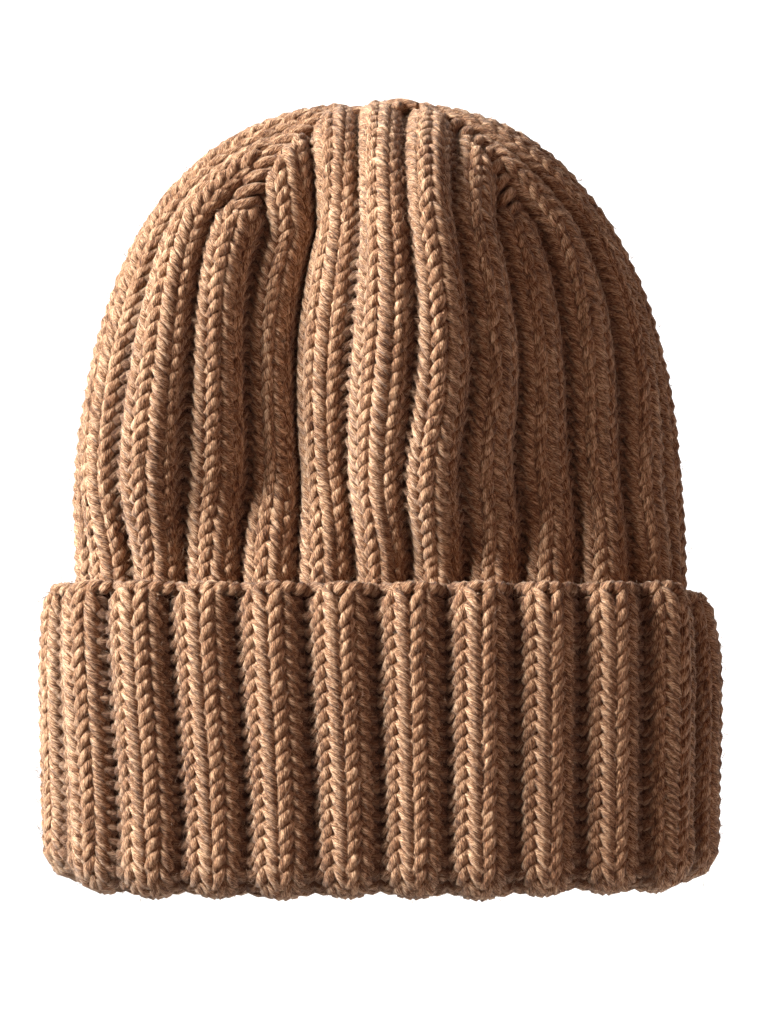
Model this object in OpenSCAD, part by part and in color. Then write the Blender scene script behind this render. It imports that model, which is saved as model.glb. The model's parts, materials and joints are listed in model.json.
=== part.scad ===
/* [Size] */
// Height of the hat from the rim to the top of the crown
total_h = 245; // [225:1:265]
// Outer width of the cuff
cuff_w = 212; // [200:1:225]
// Outer depth of the cuff, front to back
cuff_d = 88; // [84:1:100]
// Height of the turned-up cuff above the rim
cuff_h = 98; // [80:1:110]

/* [Fabric] */
// Thickness of the ribbed fabric
fabric_t = 8; // [7:0.5:9]
// Clear space between the two layers inside the folded rim
layer_gap = 3.5; // [2.5:0.5:5]
// Depth of the grooves between the ribs
groove = 1.8; // [0:0.2:2.5]
// Thickness of the yarn that closes the seams
yarn_d = 3.4; // [2:0.2:4]
// Diameter of the knot inside the top
knot_d = 6; // [4:0.5:7]

/* [Crown] */
// Height at which the four crown gores start
gore_z = 205; // [195:1:212]
// How much the crown swells front to back above the cuff
swell = 1.2; // [0.5:0.1:1.3]
// Width of the gathered opening that the closing yarn pulls shut
gather_w = 20; // [16:1:26]

/* [Hidden] */
ribs = 24;
rib_names = [for (i = [1:ribs]) str("cuff_rib_", i < 10 ? "0" : "", i)];
panel_names = ["body_front", "body_right", "body_back", "body_left"];
gore_names = ["crown_front", "crown_right", "crown_back", "crown_left"];
dart_names = ["dart_seam_front_right", "dart_seam_back_right", "dart_seam_back_left", "dart_seam_front_left"];

knit = "#a97c50";
knit_dark = "#8a6039";
yarn = "#c39a6b";

clearance = 0.3;                                // between pieces that move past each other
half_t = fabric_t / 2;
fold_r = (fabric_t + layer_gap) / 2;            // middle of the fabric to the middle of the fold
fold_out = fold_r + half_t;                     // outside of the fold
fold_z = fold_out;                              // height of the centre of the fold's round
oval_b = 10.5;                                  // front-to-back half axis of the oval that the layers run parallel to
cuff_off = cuff_d / 2 - half_t - oval_b;        // from that oval to the middle of the cuff
oval_a = cuff_w / 2 - half_t - cuff_off;        // its left-to-right half axis
body_off = cuff_off - 2 * fold_r;               // from that oval to the middle of the body
hinge_off = cuff_off - fold_r;                  // from that oval to the fold line
body_a = oval_a + body_off;                     // half width of the body, to the middle of its fabric
body_b = oval_b + body_off;                     // half depth of the body, to the middle of its fabric
round_share = body_off / body_b;                // how much of the half depth is the rounded offset
dome_z = cuff_h + 6;                            // the sides start to close in here
top_z = total_h - half_t;                       // top of the middle of the fabric
width_power = 2.3;                              // how square the dome is, seen from the front
width_root = 0.4;                               // how blunt its top is
depth_power = 3.2;                              // how square the dome is, seen from the side
front_angle = -90;                              // the ring's angle at the front
columns = 4 * ribs;                             // points round one ring: two on a rib, two in a groove
arc_steps = 96;

// ---- the surface in the middle of the fabric ----

function rise(z) = max(0, min(1, (z - dome_z) / (top_z - dome_z)));
function half_w(z) = body_a * pow(max(0, 1 - pow(rise(z), width_power)), width_root);
function half_d(z) = body_b * (1 + swell * rise(z)) * sqrt(max(0, 1 - pow(rise(z), depth_power)));

// A rounded oval: an ellipse of half axes a - c and b - c, offset outwards by c.
function oval_normal(p, a, b, c) =
    let (v = [(b - c) * cos(p), (a - c) * sin(p)]) v / norm(v);
function oval(p, a, b, c) =
    [(a - c) * cos(p), (b - c) * sin(p)] + c * oval_normal(p, a, b, c);

// Arc length against angle, from the front, as a table of [share of the way round, angle].
function arc_lengths(a, b, c) =
    [for (i = 0, s = 0; i <= arc_steps;
          s = s + norm(oval(front_angle + (i + 1) * 360 / arc_steps, a, b, c)
                       - oval(front_angle + i * 360 / arc_steps, a, b, c)),
          i = i + 1)
        [s, front_angle + i * 360 / arc_steps]];
function arc_table(a, b, c) =
    let (raw = arc_lengths(a, b, c), whole = raw[arc_steps][0])
    [for (r = raw) [r[0] / whole, r[1]]];

// The ring of the body at height z: [x, y, z] at each share in the list.
function ring(z, shares) =
    let (a = half_w(z), b = half_d(z), c = round_share * b, table = arc_table(a, b, c))
    [for (s = shares) let (q = oval(lookup(s, table), a, b, c)) [q[0], q[1], z]];

function unit(v) = v / norm(v);
function wave(share) =
    let (x = share * ribs - floor(share * ribs)) (x < 0.25 || x > 0.75) ? 0 : groove;

// A ring moved along the fabric's normal by d.
function skin(z, shares, d) =
    let (step = 0.4, here = ring(z, shares),
         below = ring(max(fold_z, z - step), shares), above = ring(min(top_z - step, z + step), shares),
         after = ring(z, [for (s = shares) min(1, s + 0.002)]),
         before = ring(z, [for (s = shares) max(0, s - 0.002)]))
    [for (i = [0:len(shares) - 1])
        here[i] + d[i] * unit(cross(after[i] - before[i], above[i] - below[i]))];

function outer(z, shares) = skin(z, shares, [for (s = shares) half_t - wave(s)]);
function inner(z, shares) = skin(z, shares, [for (s = shares) wave(s) - half_t - groove]);

// ---- solids from rings ----

// A wall between two stacks of rings, closed round or open at its two sides.
module wall(out_rings, in_rings, closed) {
    m = len(out_rings[0]);
    n = len(out_rings);
    points = concat([for (r = out_rings) each r], [for (r = in_rings) each r]);
    turns = closed ? m : m - 1;
    half = n * m;
    polyhedron(points, concat(
        [for (j = [0:n - 2]) for (i = [0:turns - 1])
            let (k = (i + 1) % m) each [[j * m + i, (j + 1) * m + i, (j + 1) * m + k],
                                        [j * m + i, (j + 1) * m + k, j * m + k]]],
        [for (j = [0:n - 2]) for (i = [0:turns - 1])
            let (k = (i + 1) % m) each [[half + j * m + i, half + (j + 1) * m + k, half + (j + 1) * m + i],
                                        [half + j * m + i, half + j * m + k, half + (j + 1) * m + k]]],
        [for (i = [0:turns - 1]) let (k = (i + 1) % m) each [[i, k, half + k], [i, half + k, half + i]]],
        [for (i = [0:turns - 1])
            let (k = (i + 1) % m, e = (n - 1) * m) each [[e + i, half + e + k, e + k],
                                                         [e + i, half + e + i, half + e + k]]],
        closed ? [] : [for (j = [0:n - 2]) each [[j * m, half + (j + 1) * m, (j + 1) * m],
                                                 [j * m, half + j * m, half + (j + 1) * m]]],
        closed ? [] : [for (j = [0:n - 2])
            let (p = j * m + m - 1, q = p + m) each [[p, q, half + q], [p, half + q, half + p]]]));
}

// A round yarn along a list of points.
module strand(path, d, sides = 8) {
    n = len(path);
    ahead = [for (i = [0:n - 1]) unit(path[min(n - 1, i + 1)] - path[max(0, i - 1)])];
    side = [for (i = [0:n - 1]) unit(cross(ahead[i], [0.13, 0.97, 0.21]))];
    points = [for (i = [0:n - 1]) for (k = [0:sides - 1])
        path[i] + d / 2 * (cos(k * 360 / sides) * side[i] + sin(k * 360 / sides) * cross(ahead[i], side[i]))];
    polyhedron(points, concat(
        [[for (k = [0:sides - 1]) sides - 1 - k]],
        [[for (k = [0:sides - 1]) (n - 1) * sides + k]],
        [for (i = [0:n - 2]) for (k = [0:sides - 1])
            let (l = (k + 1) % sides) each [[i * sides + k, i * sides + l, (i + 1) * sides + l],
                                            [i * sides + k, (i + 1) * sides + l, (i + 1) * sides + k]]]));
}

// ---- body and crown ----

body_levels = [fold_z, 40, 72, dome_z, 125, 145, 165, 185, gore_z];
cap_fit = 0.96;                                 // leaves room between the cap and the gores
dimple = 2;
gather_z = dome_z + (top_z - dome_z) * pow(1 - pow(gather_w / 2 / body_a, 1 / width_root), 1 / width_power);
gore_levels = [for (q = [0:5]) gore_z + (gather_z - gore_z) * sin(90 * q / 5)];
inside_gap = half_t + yarn_d / 2 + 3 * clearance; // a yarn on the inside of the fabric, clear of it

// One quarter of the fabric between two darts, from level to level. Quarter 0 is the front.
module quarter_wall(quarter, levels) {
    first = quarter / 4 - 1 / 8;
    shares = [for (i = [0:columns / 4]) first + i / columns];
    turned = [for (s = shares) s < 0 ? s + 1 : s];
    color(knit)
        wall([for (z = levels) outer(z, turned)], [for (z = levels) inner(z, turned)], false);
}

module body_panel(quarter) {
    quarter_wall(quarter, body_levels);
}

module crown_gore(quarter) {
    quarter_wall(quarter, gore_levels);
}

// The last stitches, drawn together: a cap with a small dimple that fills the last opening.
module crown_gather() {
    shares = [for (i = [0:2 * ribs - 1]) (i + 0.5) / (2 * ribs)];
    m = len(shares);
    top_ring = [for (q = outer(gather_z, shares)) [q[0] * cap_fit, q[1] * cap_fit, q[2]]];
    low_ring = [for (q = inner(gather_z, shares)) [q[0] * cap_fit, q[1] * cap_fit, q[2]]];
    points = concat(top_ring, low_ring, [[0, 0, total_h - dimple], [0, 0, low_ring[0][2]]]);
    color(knit)
        polyhedron(points, concat(
            [for (i = [0:m - 1]) [i, 2 * m, (i + 1) % m]],
            [for (i = [0:m - 1]) let (k = (i + 1) % m) each [[i, k, m + k], [i, m + k, m + i]]],
            [for (i = [0:m - 1]) [m + i, m + (i + 1) % m, 2 * m + 1]]));
}

// The knot of the closing yarn, fastened off on the inside.
module closing_knot() {
    color(yarn) translate([0, 0, top_z - half_t - groove - 2 * clearance - knot_d / 2]) sphere(d = knot_d);
}

// A seam yarn that follows the inside of the fabric at one share of the way round.
module inside_seam(share, levels) {
    color(yarn)
        strand([for (z = levels) skin(z, [share], [-inside_gap - groove])[0]], yarn_d);
}

module dart_seam(quarter) {
    inside_seam(quarter / 4 + 1 / 8, [for (q = [0:7]) gore_z + (gather_z - 2 - gore_z) * sin(88 * q / 7)]);
}

module back_seam() {
    last = len(body_levels) - 1;
    inside_seam(0.5, [for (q = [0:last]) q == 0 ? fold_z + 4 : q == last ? gore_z - 3 : body_levels[q]]);
}

// ---- the folded rim and the turned-up cuff ----

cuff_a = oval_a + cuff_off;
cuff_b = oval_b + cuff_off;
hinge_a = oval_a + hinge_off;
hinge_b = oval_b + hinge_off;
cuff_table = arc_table(cuff_a, cuff_b, cuff_off);

// The place and the heading of the middle of each cuff rib, on the fold line.
function rib_angle(i) = lookup(((i % ribs) + 0.5) / ribs, cuff_table);
function rib_place(i) = oval(rib_angle(i), hinge_a, hinge_b, hinge_off);
function rib_normal(i) = oval_normal(rib_angle(i), hinge_a, hinge_b, hinge_off);
function heading(i) = atan2(rib_normal(i)[1], rib_normal(i)[0]);
function turn_between(i, j) = abs(((heading(j) - heading(i) + 540) % 360) - 180);
function room(i, j, y) =                        // half width up to the line midway to the next rib
    norm(rib_place(i) - rib_place(j)) / 2 / cos(turn_between(i, j) / 2)
    + y * tan(turn_between(i, j) / 2) - clearance / 2;

// Moves a piece drawn with X along the rim and Y outwards to rib i on the fold line.
module at_rib(i) {
    p = rib_place(i);
    translate([p[0], p[1], 0]) rotate([0, 0, heading(i) - 90]) children();
}

// One rib of the turned-up cuff, narrow enough to pass its neighbours when the cuff is turned down.
module cuff_rib(i) {
    before = (i + ribs - 1) % ribs;
    after = (i + 1) % ribs;
    near = fold_r - half_t;
    left = -room(i, after, -fold_out);
    right = room(i, before, -fold_out);
    color(knit_dark)
        at_rib(i) translate([0, 0, fold_z + clearance])
            linear_extrude(cuff_h - fold_z - clearance)
                polygon([
                    [left, near], [right, near], [right, fold_out - groove],
                    [right - groove, fold_out], [left + groove, fold_out], [left, fold_out - groove]]);
}

// Half of a fabric tube along one rib, from the body round under the fold line to the cuff.
module fold_segment(i) {
    before = (i + ribs - 1) % ribs;
    after = (i + 1) % ribs;
    longest = 60;
    at_rib(i) intersection() {
        translate([0, 0, fold_z]) rotate([0, 90, 0]) difference() {
            cylinder(r = fold_out, h = longest, center = true, $fn = 64);
            cylinder(r = fold_r - half_t, h = longest + 2, center = true, $fn = 48);
        }
        linear_extrude(fold_z - clearance / 3) polygon([
            [-room(i, after, -fold_out), -fold_out], [room(i, before, -fold_out), -fold_out],
            [room(i, before, fold_out), fold_out], [-room(i, after, fold_out), fold_out]]);
    }
}

module rim_fold() {
    color(knit) for (i = [0:ribs - 1]) fold_segment(i);
}

rim_fold();
crown_gather();
back_seam();
closing_knot();
for (q = [0:3]) body_panel(q);
for (q = [0:3]) crown_gore(q);
for (q = [0:3]) dart_seam(q);
for (i = [0:ribs - 1]) cuff_rib(i);
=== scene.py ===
"""A chunky ribbed beanie with a turned-up cuff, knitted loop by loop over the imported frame."""
import json
import math

import bmesh
import bpy
import numpy as np
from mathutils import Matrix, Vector


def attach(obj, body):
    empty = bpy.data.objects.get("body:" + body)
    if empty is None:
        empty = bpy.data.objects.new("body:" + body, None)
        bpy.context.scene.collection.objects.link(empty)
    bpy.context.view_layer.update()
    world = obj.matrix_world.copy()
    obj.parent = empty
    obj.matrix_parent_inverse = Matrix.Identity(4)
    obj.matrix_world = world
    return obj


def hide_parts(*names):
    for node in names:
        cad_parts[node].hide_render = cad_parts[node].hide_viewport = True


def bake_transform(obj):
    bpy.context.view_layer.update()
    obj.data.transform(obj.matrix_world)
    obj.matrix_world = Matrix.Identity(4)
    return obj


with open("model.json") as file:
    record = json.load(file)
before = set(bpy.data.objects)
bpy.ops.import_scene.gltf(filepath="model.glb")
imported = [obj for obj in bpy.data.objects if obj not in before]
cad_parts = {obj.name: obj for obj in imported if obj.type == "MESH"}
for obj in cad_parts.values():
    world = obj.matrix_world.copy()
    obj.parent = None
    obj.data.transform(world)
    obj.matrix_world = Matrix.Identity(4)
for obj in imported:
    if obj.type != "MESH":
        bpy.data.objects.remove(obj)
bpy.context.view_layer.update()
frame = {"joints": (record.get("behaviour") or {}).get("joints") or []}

bl_info = {
    "name": "Ribbed Beanie",
    "version": (1, 0, 0),
    "blender": (4, 5, 0),
    "location": "View3D > Sidebar > Beanie",
    "description": "Knits a ribbed beanie with a turned-up cuff, in looped yarn",
    "category": "Add Mesh",
}

HINGES = [joint for joint in frame["joints"] if joint["type"] == "hinge"]
MM = 0.001
RIBS = len(HINGES)
WALES = 4 * RIBS                    # two knit and two purl columns to a rib
TURN = 2 * math.pi
PANELS = ("front", "right", "back", "left")


# ---------------------------------------------------------------- sizes

class BeanieSizes(bpy.types.PropertyGroup):
    """Sizes of the hat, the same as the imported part's, and of its stitches."""
    height: bpy.props.FloatProperty(
        name="Height", description="From the rim to the top", default=0.245, unit="LENGTH")
    cuff_width: bpy.props.FloatProperty(
        name="Cuff width", description="Outside, left to right", default=0.212, unit="LENGTH")
    cuff_depth: bpy.props.FloatProperty(
        name="Cuff depth", description="Outside, front to back", default=0.088, unit="LENGTH")
    cuff_height: bpy.props.FloatProperty(
        name="Cuff height", description="From the rim to the cast-on edge", default=0.098, unit="LENGTH")
    row: bpy.props.FloatProperty(
        name="Row height", description="Distance from one row of loops to the next", default=0.0043,
        unit="LENGTH")
    yarn: bpy.props.FloatProperty(
        name="Yarn thickness", description="Across one strand", default=0.0037, unit="LENGTH")
    rib_depth: bpy.props.FloatProperty(
        name="Rib depth", description="How far the ribs stand above the grooves", default=0.0052,
        unit="LENGTH")
    swell: bpy.props.FloatProperty(
        name="Crown swell", description="How much the crown swells front to back", default=1.2)


class BeanieColours(bpy.types.PropertyGroup):
    """Colours of the heathered wool, and the shade colour painted into its grooves and into the felt."""
    # Painted shade: the colour that the yarn is darkened to deep in the grooves and between the loops.
    shade: bpy.props.FloatVectorProperty(
        name="Shade", description="The yarn deep in the grooves", subtype="COLOR",
        default=(0.040, 0.013, 0.007))
    camel: bpy.props.FloatVectorProperty(
        name="Camel", description="Most of the yarn", subtype="COLOR", default=(0.315, 0.148, 0.069))
    beige: bpy.props.FloatVectorProperty(
        name="Beige", description="The pale fibres", subtype="COLOR", default=(0.76, 0.53, 0.33))
    floor: bpy.props.FloatVectorProperty(
        name="Floor", description="The floor and backdrop", subtype="COLOR", default=(0.93, 0.93, 0.93))


# ---------------------------------------------------------------- the cloth's middle surface

# Lengths from here on are in millimetres, unless a comment says otherwise.
FABRIC = 8.0                        # thickness of the ribbed cloth
GAP = 3.5                           # between the cuff and the body
FOLD_R = (FABRIC + GAP) / 2         # radius of the fold at the rim, to the cloth's middle
FOLD_Z = FOLD_R + FABRIC / 2        # height of the fold's centre, where the hinges lie
OVAL_B = 10.5                       # half depth of the oval from which every ring is offset
DOME_Z = 104.0                      # where the crown starts to close in
WIDTH_POWER, WIDTH_ROOT = 2.3, 0.4  # shape of the dome's outline from the front,
DEPTH_POWER = 3.2                   # and from the side
GORE_Z = 205.0                      # where the four gores start
KNOT_BELOW = 9.4                    # how far the closing knot hangs below the top
SHOULDER = 2.6                      # how far the cuff's upper edge leans in
CUFF_BOW = 1.3                      # how far the cuff swells between its edges
CORNER_LIFT = 4.0                   # how far the rim rises at its two ends
RIM_SAG = 0.8                       # how far the rim hangs lower, left of the middle
TUCK_IN, TUCK_DOWN = 2.8, 6.0       # how far the cuff's upper edge gives way at its right end
LEFT_TUCK = 0.35                    # share of that at its left end
# Hollows of the body: height out of the surface, place and width. In front the last two are shares of
# the half width, at the back they are lengths.
FRONT_HOLLOWS = ((-14.0, -0.34, 0.26), (4.5, 0.17, 0.20), (-6.5, 0.66, 0.27), (3.5, -0.86, 0.17))
REAR_HOLLOWS = ((-2.5, 30, 22), (1.5, -12, 18))
ACROSS = 960                        # samples round the hat
OVAL_SAMPLES = 1441                 # points on one oval when its length is measured
FOLD_STEPS, DOME_STEPS = 24, 149    # rings in the fold and in the dome
FRONT = -math.pi / 2                # the oval's angle at the front


def smooth(x):
    """A soft step from 0 to 1 as x goes from 0 to 1."""
    x = np.clip(x, 0, 1)
    return x * x * (3 - 2 * x)


def bell(x, centre, width):
    """A soft bump of height 1 round a centre."""
    return np.exp(-((x - centre) / width) ** 2)


def oval(p, a, b, c):
    """Point on the rounded oval: an ellipse of half axes a - c and b - c, moved outwards by c."""
    n = np.stack([(b - c) * np.cos(p), (a - c) * np.sin(p)], -1)
    n /= np.linalg.norm(n, axis=-1, keepdims=True)
    return np.stack([(a - c) * np.cos(p), (b - c) * np.sin(p)], -1) + c * n


def angles(a, b, c, shares):
    """The oval's angle at each share of the way round, from the front."""
    p = FRONT + TURN * np.linspace(0, 1, OVAL_SAMPLES)
    steps = np.linalg.norm(np.diff(oval(p, a, b, c), axis=0), axis=1)
    along = np.concatenate([[0], np.cumsum(steps)])
    return np.interp(shares * along[-1], along, p)


class Cloth:
    """The cloth's middle surface as a grid: v runs from the cast-on edge up the cuff, round the fold and
    up the body to the top, and u is the share of the way round from the front."""

    def __init__(self, sizes):
        width, depth = sizes.cuff_width / MM, sizes.cuff_depth / MM
        self.top = sizes.height / MM - FABRIC / 2
        self.cuff_h = sizes.cuff_height / MM
        self.row = sizes.row / MM
        self.swell = sizes.swell
        self.cuff_off = depth / 2 - FABRIC / 2 - OVAL_B
        self.oval_a = width / 2 - FABRIC / 2 - self.cuff_off
        self.hinge_off = self.cuff_off - FOLD_R
        self.body_off = self.cuff_off - 2 * FOLD_R
        self.body_a, self.body_b = self.oval_a + self.body_off, OVAL_B + self.body_off
        shares = np.linspace(0, 1, ACROSS, endpoint=False)
        cuff = angles(self.oval_a + self.cuff_off, OVAL_B + self.cuff_off, self.cuff_off, shares)
        rings = [self.cuff_ring(cuff, z) for z in np.arange(self.cuff_h + 4, FOLD_Z, -1.0)]
        self.fold_start = len(rings)
        rings += [self.fold_ring(cuff, t) for t in np.linspace(0, math.pi, FOLD_STEPS + 1)[:-1]]
        self.fold_end = len(rings)
        rings += [self.body_ring(cuff, shares, z) for z in np.arange(FOLD_Z, DOME_Z, 1.0)]
        rings += [self.body_ring(cuff, shares, DOME_Z + (self.top - DOME_Z) * math.sin(t))
                  for t in np.linspace(0, math.pi / 2, DOME_STEPS + 1)[:-1]]
        self.points = np.array(rings)
        steps = np.linalg.norm(np.diff(self.points, axis=0), axis=2).mean(1)
        self.v = np.concatenate([[0], np.cumsum(steps)])
        self.fold_v, self.body_v = self.v[self.fold_start], self.v[self.fold_end]
        self.girth = np.linalg.norm(np.roll(self.points, -1, 1) - self.points, axis=2).sum(1)
        self.normals = self.make_normals()
        self.add_relief()
        self.normals = self.make_normals()

    def cuff_ring(self, p, z):
        shoulder = SHOULDER * smooth((z - (self.cuff_h - 12)) / 14)
        bow = CUFF_BOW * (1 - bell(z, 0.72 * self.cuff_h, 0.55 * self.cuff_h))
        c = self.hinge_off + FOLD_R
        out = c - shoulder - bow * smooth((z - FOLD_Z) / 14)
        at = oval(p, self.oval_a + c, OVAL_B + c, c)
        flat = at + (out - c) * (at - oval(p, self.oval_a + c - 1, OVAL_B + c - 1, c - 1))
        return np.column_stack([flat, np.full(len(p), z)])

    def fold_ring(self, p, t):
        c = self.hinge_off + FOLD_R * math.cos(t)
        z = FOLD_Z - FOLD_R * math.sin(t)
        return np.column_stack([oval(p, self.oval_a + c, OVAL_B + c, c), np.full(len(p), z)])

    def body_ring(self, cuff, shares, z):
        rise = min(1, max(0, (z - DOME_Z) / (self.top - DOME_Z)))
        a = self.body_a * max(0, 1 - rise ** WIDTH_POWER) ** WIDTH_ROOT
        b = self.body_b * (1 + self.swell * rise) * math.sqrt(max(0, 1 - rise ** DEPTH_POWER))
        c = self.body_off / self.body_b * b
        own = angles(a, b, c, shares)
        mixed = cuff + (own - cuff) * smooth((z - FOLD_Z) / 50)
        return np.column_stack([oval(mixed, a, b, c), np.full(len(shares), z)])

    def make_normals(self):
        du = np.roll(self.points, -1, 1) - np.roll(self.points, 1, 1)
        dv = np.gradient(self.points, axis=0)
        n = np.cross(du, dv)
        return n / np.maximum(np.linalg.norm(n, axis=2, keepdims=True), 1e-9)

    def add_relief(self):
        """The soft hollows and folds that the hat takes up when nobody wears it."""
        x, y, z = np.moveaxis(self.points, 2, 0)
        body = np.arange(len(z))[:, None] >= self.fold_end
        facing = smooth(0.5 - y / 24)
        up = smooth((z - 98) / 30) * smooth((self.top - 1 - z) / 40)
        half = np.maximum(np.abs(x).max(1, keepdims=True), 1.0)
        front = sum(height * bell(x / half, place, width) for height, place, width in FRONT_HOLLOWS)
        front += 0.9 * np.sin(z / 15.0 + x / 23.0) * bell(x, 34, 26)
        rear = sum(height * bell(x, place, width) for height, place, width in REAR_HOLLOWS)
        hollows = body * up * (facing * front + (1 - facing) * rear)
        self.points = self.points + self.normals * hollows[..., None]
        wavy = np.sin(x / 9.0 + 1.3) + np.sin(x / 15.5 + y / 12.0)
        low = smooth((DOME_Z - z) / 20) * (~body)
        self.points = self.points + self.normals * (0.35 * wavy * low)[..., None]
        lift = CORNER_LIFT * smooth((np.abs(x) - 76) / 28) * smooth((46 - z) / 40)
        sag = RIM_SAG * bell(x, -48, 30) * smooth((40 - z) / 40)
        ends = smooth((np.abs(x) - 84) / 22) * smooth((z - 66) / 30) * (~body)
        tuck = ends * np.where(x > 0, 1.0, LEFT_TUCK)
        self.points[..., 0] -= TUCK_IN * np.sign(x) * tuck
        self.points[..., 2] += lift - sag - TUCK_DOWN * tuck

    def at(self, u, v, out):
        """Points at share u and height v, moved along the cloth's normal by out."""
        j = np.interp(v, self.v, np.arange(len(self.v)))
        j0 = np.minimum(j.astype(int), len(self.v) - 2)
        fj = (j - j0)[..., None]
        i = (u % 1.0) * ACROSS
        i0 = i.astype(int) % ACROSS
        fi = (i - np.floor(i))[..., None]
        i1 = (i0 + 1) % ACROSS

        def mix(grid):
            low = grid[j0, i0] * (1 - fi) + grid[j0, i1] * fi
            high = grid[j0 + 1, i0] * (1 - fi) + grid[j0 + 1, i1] * fi
            return low * (1 - fj) + high * fj
        return mix(self.points) + mix(self.normals) * out[..., None]


# ---------------------------------------------------------------- the stitches

CUFF_ROWS = 20                      # the first row starts this many rows before the fold,
ROW_SHIFT = 2.9                     # less this length
BODY_BANDS = 6                      # pieces that the body's rows are shared between
POINTS_PER_LOOP = 12                # points of a strand in one column
SIDES = 6                           # faces round a strand of yarn
BODY_SHARE = 0.74                   # how much wider the raised columns are than the sunken ones
CUFF_SHARE = 0.64                   # the same on the cuff
HALF_LOOP = 1.08                    # half a loop's height, in rows
LOOP_OUT = 1.35                     # how far a loop's legs stand out of the middle surface
LEG_LEAN = 0.31                     # how far a loop's legs lean, in columns
RIM_FLAT = 0.72                     # share of the ribs' relief that the fold takes away
ODD_HALF = 0.05                     # how much loops differ in height, as a share,
ODD_UP, ODD_OUT = 0.18, 0.16        # and in place, up and out of the cloth
RIB_SWAY, RIB_BEND = 0.09, 0.26     # how far the body's ribs wander, in ribs
CUFF_LEAN = 0.22                    # how far the cuff's ribs lean, in ribs
DART_NEAR, DART_DEEP = 3.2, 3.4     # how near a dart the columns sink, and how deep
FIBRE_R = 0.085                     # half the thickness of a loose fibre
FIBRES = 14.5                       # loose fibres to a row and column
BODY_FUZZ, GORE_FUZZ = 64, 12       # columns counted for them in a row of the body and of a gore
FIBRE_ROOT = 1.6                    # how far out of the strand's middle it starts
FIBRE_LONG = 2.4                    # the most that each of its two parts reaches
# REVERSE_LEAST limits the painted shade on the cloth's other side, which would otherwise look too dark.
REVERSE_LEAST = 0.45                # the least that the cloth's other side counts as proud
DOME_CENTRE = 110.0                 # height of the centre of a dome that the crown roughly follows
DOME_HALVES = np.array([92.0, 34.0, 130.0])   # its half axes
FELT = 0.8                          # thickness of the matted fibre between the loops
FELT_RELIEF = 0.4                   # share of the ribs' relief that it follows
FELT_SUNK = 2.6                     # how deep it lies under the crown's loops


def knit_side(s):
    """1 where a column shows its knit side outwards on the body, -1 where it shows purl."""
    return np.clip(2.5 * np.sin(math.pi * s / 2), -1, 1)


def rib_place(s, v, cloth):
    """Place of column s, in ribs from the front. The raised columns take more room than the sunken ones,
    and which they are changes over at the fold."""
    turn = smooth((v - cloth.fold_v + 4) / (cloth.body_v - cloth.fold_v + 8)) * 2 - 1
    share = (BODY_SHARE + CUFF_SHARE) / 2 * turn + (BODY_SHARE - CUFF_SHARE) / 2
    return (s - 1) / 4 + share / TURN * np.sin(TURN * (s - 1) / 4)


def rib_out(s, depth):
    """How far column s stands out of the middle surface because of the ribs."""
    return depth / 2 * np.cos(TURN * (s - 1) / 4)


def drift(u, v, cloth):
    """How far the ribs wander sideways, as a share of the way round. The sway has a whole number of
    waves round the hat, so that the first and last columns meet."""
    height = smooth((v - cloth.body_v - 92) / 30)
    side = np.mod(u + 0.5, 1) - 0.5
    bend = bell(v, cloth.body_v + 124, 22) * bell(side, 0.09, 0.05)
    sway = RIB_SWAY * np.sin(v / 21.0 + TURN * 5 * u) * height
    slanted = smooth(0.5 - side / 0.2) * smooth((side + 0.3) / 0.1)
    lean = CUFF_LEAN * smooth((cloth.fold_v - v) / 100) * slanted
    return (sway - RIB_BEND * bend * height - lean) / RIBS


class Loops:
    """Seeded small differences from loop to loop, so that no two are quite alike."""
    ROWS = 160

    def __init__(self, seed):
        self.table = np.random.default_rng(seed).normal(size=(self.ROWS, WALES, 3))

    def at(self, row, s):
        """Three differences for each place s along a row. They vanish where two columns meet."""
        k = np.floor(s).astype(int) % WALES
        inside = np.sin(math.pi * (s - np.floor(s))) ** 2
        return self.table[row % self.ROWS, k] * inside[..., None]


def strand(cloth, row, v, s, depth, noise, share=None, pitch=None):
    """Centre line of one row's yarn over the columns s. Returns points and how proud each one stands. In a
    gore, share is the place of its middle and pitch the width of a rib."""
    t = s - np.floor(s)
    odd = noise.at(row, s)
    sway = s + LEG_LEAN * np.sin(2 * TURN * t)
    half = HALF_LOOP * cloth.row * (1 + ODD_HALF * odd[..., 0])
    height = v - half * np.cos(TURN * t) + ODD_UP * odd[..., 1]
    relief = rib_out(sway, depth) * (1 - RIM_FLAT * bell(v, (cloth.fold_v + cloth.body_v) / 2, 13))
    out = -knit_side(s) * LOOP_OUT * np.cos(2 * TURN * t) + relief + ODD_OUT * odd[..., 2]
    height = np.clip(height, 0.2, cloth.v[-1] - 0.3)
    place = rib_place(sway, height, cloth)
    if share is None:
        u = place / RIBS
    else:
        girth = np.interp(height, cloth.v, cloth.girth)
        edge = girth / 8
        offset = place * pitch
        near = smooth((np.abs(offset) - edge + DART_NEAR) / DART_NEAR)
        u = share + np.clip(offset, -edge * 0.99, edge * 0.99) / girth
        out = out * (1 - 0.75 * near) - DART_DEEP * near
    u = u + drift(u, height, cloth)
    return cloth.at(u, height, out), out


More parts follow.
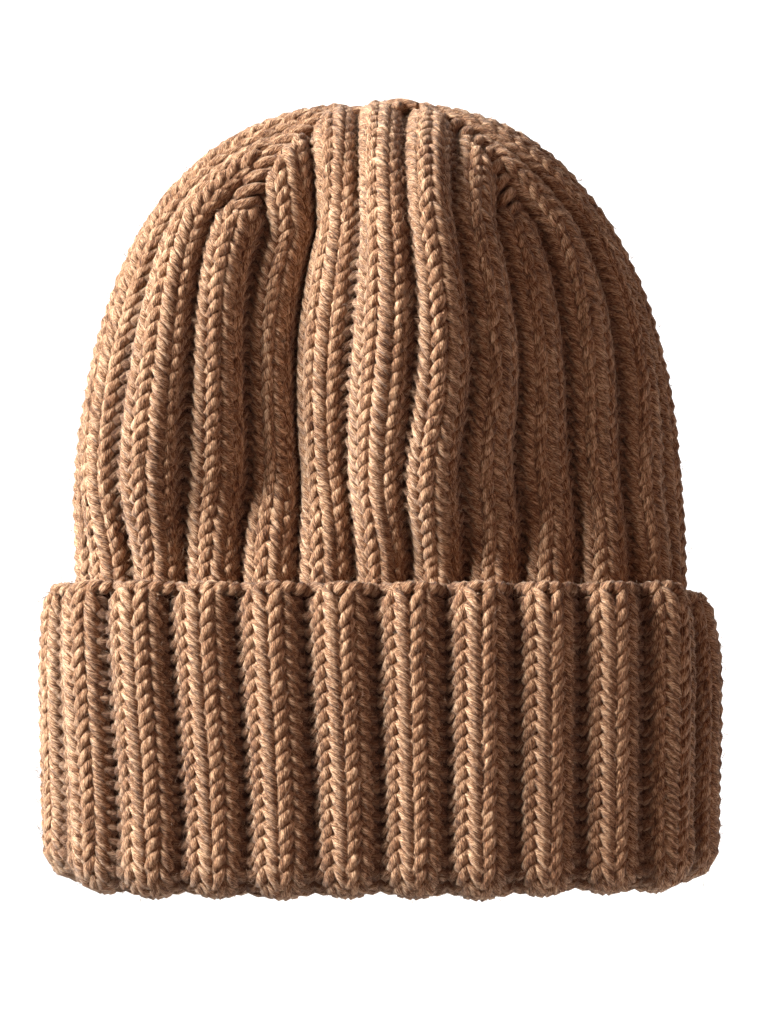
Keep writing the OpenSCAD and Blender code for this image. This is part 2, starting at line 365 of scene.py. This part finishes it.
def curve_mesh(name, paths, radius, cyclic, resolution):
    """A mesh of round strands along lists of points. Open strands taper to a point at both ends."""
    curve = bpy.data.curves.new(name, "CURVE")
    curve.dimensions = "3D"
    curve.bevel_depth = radius
    curve.bevel_resolution = resolution
    curve.twist_mode = "MINIMUM"
    for path in paths:
        spline = curve.splines.new("POLY")
        spline.points.add(len(path) - 1)
        spline.points.foreach_set("co", np.column_stack([path, np.ones(len(path))]).ravel())
        spline.use_cyclic_u = cyclic
        if not cyclic:
            spline.points[0].radius = 0.0
            spline.points[-1].radius = 0.0
    made = bpy.data.objects.new(name, curve)
    bpy.context.scene.collection.objects.link(made)
    mesh = bpy.data.meshes.new_from_object(made.evaluated_get(bpy.context.evaluated_depsgraph_get()))
    bpy.data.objects.remove(made)
    bpy.data.curves.remove(curve)
    return mesh


def tube_mesh(name, paths, radius, cyclic=False):
    """Strands of yarn with their own map: metres along, share around."""
    mesh = curve_mesh(name, paths, radius, cyclic, 1)
    map_along(mesh, paths, cyclic)
    return mesh


def fuzz(name, strands, count, rng):
    """Loose fibres that stand out of the yarn, each a thin bent strand."""
    points = np.vstack([p for p, _ in strands])
    ahead = np.vstack([np.roll(p, -1, 0) - p for p, _ in strands])
    ahead /= np.maximum(np.linalg.norm(ahead, axis=1, keepdims=True), 1e-6)
    pick = rng.integers(0, len(points), count)
    root, along = points[pick], ahead[pick] * rng.choice([-1.0, 1.0], (count, 1))
    side = rng.normal(size=(count, 3)) * 0.55 + away_from_axis(root)
    side /= np.linalg.norm(side, axis=1, keepdims=True)
    length = np.minimum(rng.gamma(4.0, 0.36, (count, 1)), FIBRE_LONG)
    bent = rng.normal(size=(count, 3)) * 0.6
    low = root + side * FIBRE_ROOT
    lift = rng.uniform(0.1, 0.65, (count, 1))
    middle = low + (side * lift + along * 0.75 + bent * 0.35) * length
    tip = middle + (side * 0.20 + along * 0.60 + bent * 0.8) * length
    paths = np.stack([low, middle, tip], 1) * MM
    mesh = curve_mesh(name, paths, FIBRE_R * MM, False, 0)
    set_depth(mesh, np.ones(len(mesh.vertices)))
    return mesh


def map_along(mesh, paths, cyclic):
    """Gives a strand's faces their place along and around it. A face that closes a ring takes the far
    side's value, so that the pattern doesn't run back across it."""
    along, last = [], []
    for path in paths:
        steps = np.linalg.norm(np.diff(np.vstack([path, path[:1]]), axis=0), axis=1)
        at = np.concatenate([[0], np.cumsum(steps)])
        along.append(np.repeat(at[:-1], SIDES))
        last.append(np.repeat(at[-1] if cyclic else 0.0, len(path) * SIDES))
    along, last = np.concatenate(along), np.concatenate(last)
    around = np.tile(np.arange(SIDES) / SIDES, len(along) // SIDES)
    corner = np.zeros(len(mesh.loops), int)
    mesh.loops.foreach_get("vertex_index", corner)
    quads = corner.reshape(-1, 4)
    u, w = along[quads], around[quads]
    seam = (u.max(1) - u.min(1) > 0.5 * np.maximum(last[quads[:, 0]], 0.02))[:, None]
    u = np.where(seam & (u < 0.5 * last[quads]), u + last[quads], u)
    wrap = (w.max(1) - w.min(1) > 0.5)[:, None]
    w = np.where(wrap & (w < 0.4), w + 1, w)
    layer = mesh.uv_layers.get("UVMap") or mesh.uv_layers.new(name="UVMap")
    layer.data.foreach_set("uv", np.stack([u, w], -1).astype(np.float32).ravel())


def set_depth(mesh, values):
    """Marks each point with how deep in the knit it lies: 1 on the ribs, 0 in the grooves."""
    # The wool darkens the points with low values towards the shade colour: painted shade in the grooves.
    layer = mesh.attributes.new("proud", "FLOAT", "POINT")
    layer.data.foreach_set("value", values.astype(np.float32))


def finish_piece(name, mesh, material, loose=None):
    """Adds the loose fibres, closes the strands' ends, smooths the faces and links the piece."""
    work = bmesh.new()
    work.from_mesh(mesh)
    if loose:
        work.from_mesh(loose)
        bpy.data.meshes.remove(loose)
    bmesh.ops.remove_doubles(work, verts=work.verts, dist=1e-6)
    bmesh.ops.recalc_face_normals(work, faces=work.faces)
    work.to_mesh(mesh)
    work.free()
    mesh.shade_smooth()
    mesh.name = name
    mesh.materials.append(material)
    piece = bpy.data.objects.new(name, mesh)
    bpy.context.scene.collection.objects.link(piece)
    return piece


def away_from_axis(points):
    """Roughly outward directions at points of the hat: those of an upright tube with a dome on it."""
    away = (points - (0, 0, DOME_CENTRE)) / DOME_HALVES ** 2
    away[:, 2] *= points[:, 2] > DOME_CENTRE
    return away / np.linalg.norm(away, axis=1, keepdims=True)


def proud_of(mesh, strands, facing, depth):
    """Share of the way from the groove to the rib's top for each point of the yarn, as seen from the side
    of the cloth on which that point lies."""
    # The result drives painted shade: the wool darkens the yarn where it is low.
    centre = np.repeat(np.vstack([p for p, _ in strands]), SIDES, axis=0)
    place = np.zeros(len(centre) * 3)
    mesh.vertices.foreach_get("co", place)
    spread = place.reshape(-1, 3) / MM - centre
    outside = smooth(0.5 + (spread * away_from_axis(centre)).sum(1) / 2.4)
    reach = depth / 2 + LOOP_OUT
    out = np.repeat(np.concatenate([out for _, out in strands]), SIDES)
    level = np.clip((facing * out + reach) / (2 * reach), 0, 1)
    inner = REVERSE_LEAST + (1 - REVERSE_LEAST) * (1 - level)
    return level * outside + inner * (1 - outside)


def knit_piece(name, strands, facing, sizes, material, cyclic=False, fibres=0):
    """One piece of yarn with its loose fibres. Facing is 1 where a larger out counts as prouder, and -1
    where a smaller one does."""
    paths = [p * MM for p, _ in strands]
    mesh = tube_mesh(name, paths, sizes.yarn / 2, cyclic)
    set_depth(mesh, proud_of(mesh, strands, facing, sizes.rib_depth / MM))
    loose = fuzz(name + "_fuzz", strands, fibres, MADE["random"]) if fibres else None
    return finish_piece(name, mesh, material, loose)


def backing(name, cloth, s_range, v_range, sizes, material, steps):
    """The matted fibre between the loops: a thin felt that follows the ribs at mid thickness."""
    # It fills the gaps as the fuzz of the yarn does, and is a dark sheet in painted shade where the gaps
    # show shadow.
    work = bmesh.new()
    across, up = steps
    grid = bmesh.ops.create_grid(work, x_segments=across, y_segments=up, size=0.5)["verts"]
    at = np.array([v.co[:] for v in grid])
    s = s_range[0] + (at[:, 0] + 0.5) * (s_range[1] - s_range[0])
    v = v_range[0] + (at[:, 1] + 0.5) * (v_range[1] - v_range[0])
    u = rib_place(s, v, cloth) / RIBS
    u = u + drift(u, v, cloth)
    flat = smooth((v - gore_v(cloth) + 6) / 6)
    out = FELT_RELIEF * rib_out(s, sizes.rib_depth / MM) * (1 - flat) - FELT_SUNK * flat
    for vert, place in zip(grid, cloth.at(u, v, out) * MM):
        vert.co = place
    bmesh.ops.remove_doubles(work, verts=work.verts, dist=1e-6)
    bmesh.ops.recalc_face_normals(work, faces=work.faces)
    bmesh.ops.solidify(work, geom=work.faces[:], thickness=FELT * MM)
    mesh = bpy.data.meshes.new(name)
    work.to_mesh(mesh)
    work.free()
    set_depth(mesh, np.full(len(mesh.vertices), 0.12))
    mesh.uv_layers.new(name="UVMap")
    mesh.shade_smooth()
    mesh.materials.append(material)
    piece = bpy.data.objects.new(name, mesh)
    bpy.context.scene.collection.objects.link(piece)
    return piece


def rows_between(cloth, low, high):
    """Numbers and heights of the rows between two heights. Rows count from the cast-on edge."""
    first = cloth.fold_v - CUFF_ROWS * cloth.row + ROW_SHIFT
    count = int((cloth.v[-1] - first) / cloth.row) + 1
    middles = [first + (k + 0.5) * cloth.row for k in range(count)]
    return [(k, v) for k, v in enumerate(middles) if low <= v < high]


def gore_v(cloth):
    """Where along the cloth the four gores start."""
    return float(np.interp(GORE_Z, cloth.points[cloth.fold_end:, 0, 2], cloth.v[cloth.fold_end:]))


# ---------------------------------------------------------------- materials

TWIST = 0.0135                      # length of yarn in which its plies turn once, in metres


class Value:
    """A node socket that takes part in Python arithmetic."""

    def __init__(self, maker, socket):
        self.maker, self.socket = maker, socket

    def math(self, operation, other=0.0):
        return self.maker.node("ShaderNodeMath", {"operation": operation}, {0: self, 1: other})

    def __add__(self, other):
        return self.math("ADD", other)
    __radd__ = __add__

    def __sub__(self, other):
        return self.math("SUBTRACT", other)

    def __mul__(self, other):
        return self.math("MULTIPLY", other)
    __rmul__ = __mul__


class Maker:
    """Builds a material's nodes."""

    def __init__(self, name):
        self.material = bpy.data.materials.new(name)
        self.material.use_nodes = True
        self.tree = self.material.node_tree
        self.shader = self.tree.nodes["Principled BSDF"]

    def node(self, kind, settings=None, inputs=None, output=0):
        """Adds a node and returns one of its outputs. A ramp's stops are pairs of place and colour."""
        made = self.tree.nodes.new(kind)
        for key, value in (settings or {}).items():
            if key == "stops":
                ramp = made.color_ramp
                while len(ramp.elements) < len(value):
                    ramp.elements.new(0.5)
                for element, (at, colour) in zip(ramp.elements, value):
                    element.position, element.color = at, (*colour, 1)
            else:
                setattr(made, key, value)
        for key, value in (inputs or {}).items():
            self.give(made.inputs[key], value)
        return Value(self, made.outputs[output])

    def give(self, socket, value):
        if isinstance(value, Value):
            self.tree.links.new(value.socket, socket)
        else:
            socket.default_value = value

    def set(self, **values):
        """Gives the shader its values and returns the finished material."""
        for key, value in values.items():
            self.give(self.shader.inputs[key.replace("_", " ")], value)
        return self.material


def wool(name, colours, plies=3):
    """Heathered wool yarn: twisted plies, fine fibres, three mixed tones, and painted shade in its
    grooves.
    """
    make = Maker(name)
    coord = make.node("ShaderNodeUVMap", {"uv_map": "UVMap"})
    place = make.node("ShaderNodeTexCoord", output="Object")
    along = make.node("ShaderNodeSeparateXYZ", inputs={0: coord})
    around = Value(make, along.socket.node.outputs[1])
    turned = (around + along * (1 / TWIST)) * TURN
    cos, sin = turned.math("COSINE"), turned.math("SINE")
    ply = (around * plies + along * (plies / TWIST)) * TURN
    groove = ply.math("COSINE") * 0.5 + 0.5
    seat = make.node("ShaderNodeCombineXYZ", inputs={0: cos * 1.7, 1: sin * 1.7, 2: along * 240.0})
    shift = make.node("ShaderNodeVectorMath", {"operation": "SCALE"}, {0: place, "Scale": 60.0})
    moved = make.node("ShaderNodeVectorMath", {"operation": "ADD"}, {0: seat, 1: shift})
    fibre = make.node("ShaderNodeTexNoise", {"noise_dimensions": "3D"},
                      {"Vector": moved, "Scale": 2.1, "Detail": 6.0, "Roughness": 0.68})
    strokes = make.node("ShaderNodeTexNoise", {"noise_dimensions": "3D"},
                        {"Vector": seat, "Scale": 5.2, "Detail": 3.0, "Roughness": 0.6})
    tone = make.node("ShaderNodeTexNoise", {"noise_dimensions": "3D"},
                     {"Vector": place, "Scale": 95.0, "Detail": 3.0, "Roughness": 0.6})
    proud = make.node("ShaderNodeAttribute", {"attribute_name": "proud"}, output=2)
    # The groove term lightens the plies' crests and darkens the grooves between them: painted shade.
    mixed = (fibre - 0.5) * 1.25 + (strokes - 0.5) * 1.25 + (tone - 0.5) * 0.25 + groove * 0.12 + 0.45
    tones = make.node("ShaderNodeValToRGB", {"stops": [
        (0.28, [c * 1.5 for c in colours.shade]), (0.42, [0.62 * c for c in colours.camel]),
        (0.52, colours.camel), (0.64, [0.5 * (a + b) for a, b in zip(colours.camel, colours.beige)]),
        (0.78, colours.beige)]}, {0: mixed})
    # Painted shade: the yarn is darkened towards the shade colour where proud is low, deep in the grooves
    # and between the loops.
    deep = make.node("ShaderNodeMapRange", {"interpolation_type": "SMOOTHSTEP"},
                     {"Value": proud, 1: 0.18, 2: 0.84, 3: 0.96, 4: 0.0})
    dark = make.node("ShaderNodeMix", {"data_type": "RGBA", "blend_type": "MIX"},
                     {0: deep, 6: tones, 7: (*colours.shade, 1)}, output=2)
    high = groove * 0.40 + fibre * 0.7 + strokes * 0.9
    bump = make.node("ShaderNodeBump", inputs={"Strength": 0.85, "Distance": 0.0006, "Height": high})
    return make.set(Base_Color=dark, Roughness=0.92, Normal=bump, Sheen_Weight=0.35, Sheen_Roughness=0.45,
                    Sheen_Tint=(0.95, 0.80, 0.66, 1), Specular_IOR_Level=0.18)


def matted(name, colours):
    """The felted fibre that shows between the loops, dark in painted shade."""
    make = Maker(name)
    place = make.node("ShaderNodeTexCoord", output="Object")
    fibre = make.node("ShaderNodeTexNoise", {"noise_dimensions": "3D"},
                      {"Vector": place, "Scale": 900.0, "Detail": 4.0, "Roughness": 0.7})
    # Painted shade: the felt takes darker and lighter versions of the shade colour, not the wool's own
    # tones.
    tones = make.node("ShaderNodeValToRGB", {"stops": [
        (0.3, [0.35 * c for c in colours.shade]), (0.7, [1.3 * c for c in colours.shade])]}, {0: fibre})
    bump = make.node("ShaderNodeBump", inputs={"Strength": 0.6, "Distance": 0.0004, "Height": fibre})
    return make.set(Base_Color=tones, Roughness=0.98, Normal=bump, Specular_IOR_Level=0.05)


def plain_ground(name, colour):
    """The pale, dull floor and backdrop."""
    make = Maker(name)
    place = make.node("ShaderNodeTexCoord", output="Object")
    grain = make.node("ShaderNodeTexNoise", {"noise_dimensions": "3D"},
                      {"Vector": place, "Scale": 3.0, "Detail": 2.0})
    pale = make.node("ShaderNodeValToRGB", {"stops": [
        (0.0, [0.99 * c for c in colour]), (1.0, colour)]}, {0: grain})
    return make.set(Base_Color=pale, Roughness=1.0, Specular_IOR_Level=0.0)


# ---------------------------------------------------------------- shared between the operators

MADE = {}


def cloth_of(scene):
    """The cloth, made once with the materials and the seeded differences that all operators share."""
    if "cloth" not in MADE:
        MADE["cloth"] = Cloth(scene.beanie_sizes)
        MADE["noise"] = Loops(7)
        MADE["random"] = np.random.default_rng(11)
        colours = scene.beanie_colours
        MADE["body"] = wool("wool_body", colours)
        MADE["cuff"] = wool("wool_cuff", colours)
        MADE["seam"] = wool("wool_seam", colours, plies=2)
        MADE["felt"] = matted("felted_fibre_painted_shade", colours)
    return MADE["cloth"]


class BEANIE_OT_body(bpy.types.Operator):
    """Knit the body in bands of closed rows, from the fold to the crown"""
    bl_idname = "beanie.body"
    bl_label = "Body"

    def execute(self, context):
        cloth, sizes = cloth_of(context.scene), context.scene.beanie_sizes
        depth = sizes.rib_depth / MM
        rows = rows_between(cloth, cloth.body_v, gore_v(cloth))
        s = np.arange(WALES * POINTS_PER_LOOP) / POINTS_PER_LOOP
        for n, band in enumerate(np.array_split(np.arange(len(rows)), BODY_BANDS)):
            strands = [strand(cloth, *rows[k], s, depth, MADE["noise"]) for k in band]
            piece = knit_piece(f"body_knit_{n + 1}", strands, 1, sizes, MADE["body"], cyclic=True,
                               fibres=int(FIBRES * BODY_FUZZ * len(band)))
            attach(piece, "hat")
            if n == 0:
                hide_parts(*[f"body_{p}" for p in PANELS])
        # The felt under the body's loops: partly fibre that fills the gaps, partly a dark sheet of painted
        # shade.
        felt = backing("body_felt_painted_shade", cloth, (0, WALES), (cloth.body_v, cloth.v[-1] - 3), sizes,
                       MADE["felt"], (4 * WALES, 80))
        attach(felt, "hat")
        return {"FINISHED"}


class BEANIE_OT_crown(bpy.types.Operator):
    """Knit the four gores, whose ribs run straight to the darts between them"""
    bl_idname = "beanie.crown"
    bl_label = "Crown"

    def execute(self, context):
        cloth, sizes = cloth_of(context.scene), context.scene.beanie_sizes
        depth = sizes.rib_depth / MM
        start = gore_v(cloth)
        pitch = float(np.interp(start, cloth.v, cloth.girth)) / RIBS
        rows = rows_between(cloth, start, cloth.v[-1] - 5.5)
        wide = np.linspace(1 - WALES / 8 - 0.5, 1 + WALES / 8 + 0.5, 3000)
        for q, panel in enumerate(PANELS):
            strands = []
            for k, v in rows:
                edge = float(np.interp(v, cloth.v, cloth.girth)) / 8
                place = rib_place(wide, v, cloth) * pitch
                inside = wide[np.abs(place) <= edge]
                count = max(6, int((inside[-1] - inside[0]) * POINTS_PER_LOOP))
                s = np.linspace(inside[0], inside[-1], count)
                strands.append(strand(cloth, k + 17 * q, v, s, depth, MADE["noise"], q / 4, pitch))
            piece = knit_piece(f"crown_knit_{panel}", strands, 1, sizes, MADE["body"],
                               fibres=int(FIBRES * GORE_FUZZ * len(rows)))
            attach(piece, "hat")
            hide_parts(f"crown_{panel}")
        return {"FINISHED"}


CROSSING_TURNS = (0.5, 1.6, 2.7)    # directions of the strands across the top, in radians
# Across from the middle and down from the top, at one end and the other, and height out of the cloth.
APEX_STITCHES = ((-3, 11, 15, 10, 3.6), (12, 1, 14.5, 9, 4.6), (4, 7, 18, 8, 3.9))
SEAM_WAVES = 42                     # stitches in the back seam


class BEANIE_OT_closing(bpy.types.Operator):
    """Draw the last stitches together, and make the knot and the seams"""
    bl_idname = "beanie.closing"
    bl_label = "Closing"

    def execute(self, context):
        cloth, sizes = cloth_of(context.scene), context.scene.beanie_sizes
        strands = self.drawn_stitches(cloth) + self.crossing_strands(cloth) + self.apex_stitches(cloth)
        gather = knit_piece("crown_gather_knit", strands, 1, sizes, MADE["body"])
        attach(gather, "hat")
        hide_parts("crown_gather")
        self.knot(cloth, sizes)
        self.darts(cloth, sizes)
        self.back_seam(cloth, sizes)
        return {"FINISHED"}

    def drawn_stitches(self, cloth):
        """The last stitches, drawn in towards the top."""
        strands = []
        t = np.linspace(0, 1, 9)
        for k in range(2 * RIBS):
            v = cloth.v[-1] - 8.5 * (1 - t) - 0.4
            u = (k + 0.25) / (2 * RIBS) + 0.012 * np.sin(3 * t + k)
            out = 1.2 + 1.3 * np.sin(math.pi * t) - 1.2 * t + 0.4 * math.sin(2.4 * k)
            strands.append((cloth.at(u, v, out), out))
        return strands

    def crossing_strands(self, cloth):
        """Yarn that crosses the closed top."""
        strands = []
        t = np.linspace(-1, 1, 13)
        for turn in CROSSING_TURNS:
            reach = 7.0 * t
            path = np.column_stack([reach * math.cos(turn) + 1.0 * t * t, reach * math.sin(turn),
                                    cloth.top + 2.4 - 3.2 * t * t])
            strands.append((path, np.full(13, 3.0)))
        return strands

    def apex_stitches(self, cloth):
        """Larger stitches in front of the top, where the ribs are caught together."""
        strands = []
        t = np.linspace(0, 1, 13)
        for x0, x1, below0, below1, lift in APEX_STITCHES:
            v = cloth.v[-1] - below0 + (below0 - below1) * t
            u = (x0 + (x1 - x0) * t) / np.interp(v, cloth.v, cloth.girth)
            out = lift + 1.2 * np.sin(math.pi * t) - 1.2
            strands.append((cloth.at(u, v, out), out))
        return strands

    def knot(self, cloth, sizes):
        """The closing knot, which hangs inside the top."""
        t = np.linspace(0, 1, 60)
        turn = TURN * 3.2 * t
        ring = 1.6 + 0.6 * np.cos(TURN * 2.1 * t)
        z = cloth.top - KNOT_BELOW + 1.1 * np.sin(TURN * 2.6 * t)
        path = np.column_stack([ring * np.cos(turn), ring * np.sin(turn), z])
        knot = knit_piece("closing_knot_yarn", [(path, np.full(60, 3.5))], 1, sizes, MADE["seam"])
        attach(knot, "hat")
        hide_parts("closing_knot")

    def darts(self, cloth, sizes):
        """Linking yarn that crosses each dart in small slanting stitches."""
        names = ("dart_seam_front_right", "dart_seam_back_right", "dart_seam_back_left",
                 "dart_seam_front_left")
        start, end = gore_v(cloth), cloth.v[-1] - 7
        turns = int((end - start) / 4.6)
        t = np.linspace(0, 1, turns * 12)
        for q, name in enumerate(names):
            v = start - 3 + (end - start + 3) * t + 1.1 * np.sin(TURN * turns * t)
            u = q / 4 + 1 / 8 + 2.6 * np.sin(TURN * turns * t) / np.interp(v, cloth.v, cloth.girth)
            u = u + drift(u, v, cloth)
            out = 0.4 + 1.9 * np.cos(TURN * turns * t)
            piece = knit_piece(name + "_yarn", [(cloth.at(u, v, out), out)], 1, sizes, MADE["seam"])
            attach(piece, "hat")
            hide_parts(name)

    def back_seam(self, cloth, sizes):
        """Seam yarn up the inside of the back, in small waves."""
        t = np.linspace(0, 1, 520)
        start = cloth.body_v + 2
        v = start + (gore_v(cloth) - start) * t
        u = 0.5 + 1.2 * np.sin(TURN * SEAM_WAVES * t) / np.interp(v, cloth.v, cloth.girth)
        out = -4.6 + 0.7 * np.cos(TURN * SEAM_WAVES * t)
        piece = knit_piece("back_seam_yarn", [(cloth.at(u, v, out), out)], -1, sizes, MADE["seam"])
        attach(piece, "hat")
        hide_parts("back_seam")


class BEANIE_OT_cuff(bpy.types.Operator):
    """Knit the turned-up cuff and the fold, one rib at a time"""
    bl_idname = "beanie.cuff"
    bl_label = "Cuff"

    def execute(self, context):
        cloth, sizes = cloth_of(context.scene), context.scene.beanie_sizes
        depth = sizes.rib_depth / MM
        cuff_rows = rows_between(cloth, 0, cloth.fold_v)
        fold_rows = rows_between(cloth, cloth.fold_v, cloth.body_v)
        for n, joint in enumerate(HINGES):
            s = 1 + 4 * n + np.arange(4 * POINTS_PER_LOOP + 1) / POINTS_PER_LOOP
            strands = [strand(cloth, k, v, s, depth, MADE["noise"]) for k, v in cuff_rows]
            strands += self.edge(cloth, cuff_rows[0][1], s, depth)
            piece = knit_piece(f"cuff_knit_{n + 1:02d}", strands, -1, sizes, MADE["cuff"],
                               fibres=int(FIBRES * 4 * len(cuff_rows)))
            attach(piece, joint["child"])
            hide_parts(f"cuff_rib_{n + 1:02d}")
            low = cuff_rows[0][1] - 2
            # The felt under this rib's loops: partly fibre that fills the gaps, partly a dark sheet of
            # painted shade.
            felt = backing(f"cuff_felt_painted_shade_{n + 1:02d}", cloth, (s[0], s[-1]), (low, cloth.fold_v), sizes,
                           MADE["felt"], (16, 24))
            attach(felt, joint["child"])
            self.fold(cloth, sizes, n, joint, fold_rows, s, depth)
        return {"FINISHED"}

    def edge(self, cloth, v, s, depth):
        """The cast-on edge: a rope of small slanting loops along the cuff's first row."""
        t = s - np.floor(s)
        height = v - 0.9 * cloth.row + 0.6 * np.sin(2 * TURN * t)
        out = rib_out(s, depth) * 0.9 + 0.8 * np.cos(2 * TURN * t)
        u = rib_place(s, height, cloth) / RIBS
        return [(cloth.at(u, height, out), out)]

    def fold(self, cloth, sizes, n, joint, rows, s, depth):
        """One rib's stretch of the fold, which bends round the hinge between the body and the cuff."""
        strands = [strand(cloth, k, v, s, depth, MADE["noise"]) for k, v in rows]
        piece = knit_piece(f"fold_knit_{n + 1:02d}", strands, -1, sizes, MADE["cuff"],
                           fibres=int(FIBRES * 4 * len(rows)))
        # The felt under the fold's loops: partly fibre that fills the gaps, partly a dark sheet of painted
        # shade.
        felt = backing(f"fold_felt_painted_shade_{n + 1:02d}", cloth, (s[0], s[-1]), (cloth.fold_v, cloth.body_v),
                       sizes, MADE["felt"], (16, 8))
        for part in (piece, felt):
            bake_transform(part)
        if n == 0:
            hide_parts("rim_fold")


# The floor's half side, place and height, the curve's radius and the wall's height, in metres.
FLOOR_HALF, FLOOR_Y, FLOOR_Z = 3.0, -1.4, -0.5
COVE_R, WALL = 0.8, 3.0


class BEANIE_OT_stage(bpy.types.Operator):
    """Set up the floor, the soft lights and the camera"""
    bl_idname = "beanie.stage"
    bl_label = "Stage"

    def execute(self, context):
        scene = context.scene
        self.floor(scene)
        self.light("key", (-1.36, -0.41, 0.85), 0.80, 8.6).spread = math.radians(40)
        self.light("fill", (0.7, -1.4, 0.35), 0.9, 4.6).color = (1.0, 0.55, 0.42)
        self.light("top", (0.0, 0.1, 1.3), 0.7, 2.5)
        self.light("backdrop", (0.0, 0.75, 1.3), 1.2, 60.0, (0, 1.9, 0.3))
        world = bpy.data.worlds.new("studio")
        world.use_nodes = True
        background = world.node_tree.nodes["Background"]
        background.inputs["Color"].default_value = (1, 0.85, 0.78, 1)
        background.inputs["Strength"].default_value = 0.06
        scene.world = world
        camera = bpy.data.cameras.new("camera")
        camera.lens, camera.sensor_fit, camera.sensor_height = 111.8, "VERTICAL", 36
        placed = bpy.data.objects.new("camera", camera)
        scene.collection.objects.link(placed)
        placed.location = (0.001, -0.9972, 0.1178)
        placed.rotation_euler = (math.pi / 2, 0, 0)
        scene.camera = placed
        scene.view_settings.view_transform = "Standard"
        return {"FINISHED"}

    def floor(self, scene):
        """The floor, whose back edge curves up into a wall."""
        work = bmesh.new()
        flat = bmesh.ops.create_grid(work, x_segments=1, y_segments=1, size=FLOOR_HALF)["verts"]
        bmesh.ops.translate(work, verts=flat, vec=(0, FLOOR_Y, FLOOR_Z))
        wall_y, wall_z = FLOOR_Y + FLOOR_HALF, FLOOR_Z + COVE_R
        back = [e for e in work.edges if all(v.co.y > wall_y - 0.01 for v in e.verts)]
        bmesh.ops.spin(work, geom=back, cent=(0, wall_y, wall_z), axis=(1, 0, 0), angle=math.pi / 2,
                       steps=16)
        top = [e for e in work.edges if all(v.co.z > wall_z - 0.01 for v in e.verts)]
        raised = bmesh.ops.extrude_edge_only(work, edges=top)["geom"]
        bmesh.ops.translate(work, verts=[v for v in raised if isinstance(v, bmesh.types.BMVert)],
                            vec=(0, 0, WALL))
        bmesh.ops.recalc_face_normals(work, faces=work.faces)
        mesh = bpy.data.meshes.new("floor")
        work.to_mesh(mesh)
        work.free()
        mesh.shade_smooth()
        mesh.materials.append(plain_ground("pale_ground", scene.beanie_colours.floor))
        floor = bpy.data.objects.new("floor", mesh)
        scene.collection.objects.link(floor)

    def light(self, name, place, size, power, target=(0, 0, 0.12)):
        """A round soft lamp that shines at a target, the hat unless another is given."""
        lamp = bpy.data.lights.new(name, "AREA")
        lamp.shape, lamp.size, lamp.energy = "DISK", size, power
        holder = bpy.data.objects.new(name, lamp)
        bpy.context.scene.collection.objects.link(holder)
        holder.location = place
        aim = Vector(target) - Vector(place)
        holder.rotation_euler = aim.to_track_quat("-Z", "Y").to_euler()
        return lamp


class BEANIE_PT_panel(bpy.types.Panel):
    """The hat's steps, in order"""
    bl_idname = "BEANIE_PT_panel"
    bl_label = "Beanie"
    bl_space_type = "VIEW_3D"
    bl_region_type = "UI"
    bl_category = "Beanie"

    def draw(self, context):
        for name in BeanieSizes.__annotations__:
            self.layout.prop(context.scene.beanie_sizes, name)
        for name in BeanieColours.__annotations__:
            self.layout.prop(context.scene.beanie_colours, name)
        for step in STEPS:
            self.layout.operator(step.bl_idname)


STEPS = (BEANIE_OT_body, BEANIE_OT_crown, BEANIE_OT_closing, BEANIE_OT_cuff, BEANIE_OT_stage)
CLASSES = (BeanieSizes, BeanieColours, *STEPS, BEANIE_PT_panel)


def register():
    for item in CLASSES:
        bpy.utils.register_class(item)
    bpy.types.Scene.beanie_sizes = bpy.props.PointerProperty(type=BeanieSizes)
    bpy.types.Scene.beanie_colours = bpy.props.PointerProperty(type=BeanieColours)


def unregister():
    del bpy.types.Scene.beanie_colours
    del bpy.types.Scene.beanie_sizes
    for item in reversed(CLASSES):
        bpy.utils.unregister_class(item)


def main():
    register()
    bpy.ops.beanie.body()
    bpy.ops.beanie.crown()
    bpy.ops.beanie.closing()
    bpy.ops.beanie.cuff()
    bpy.ops.beanie.stage()


if __name__ == "__main__":
    main()
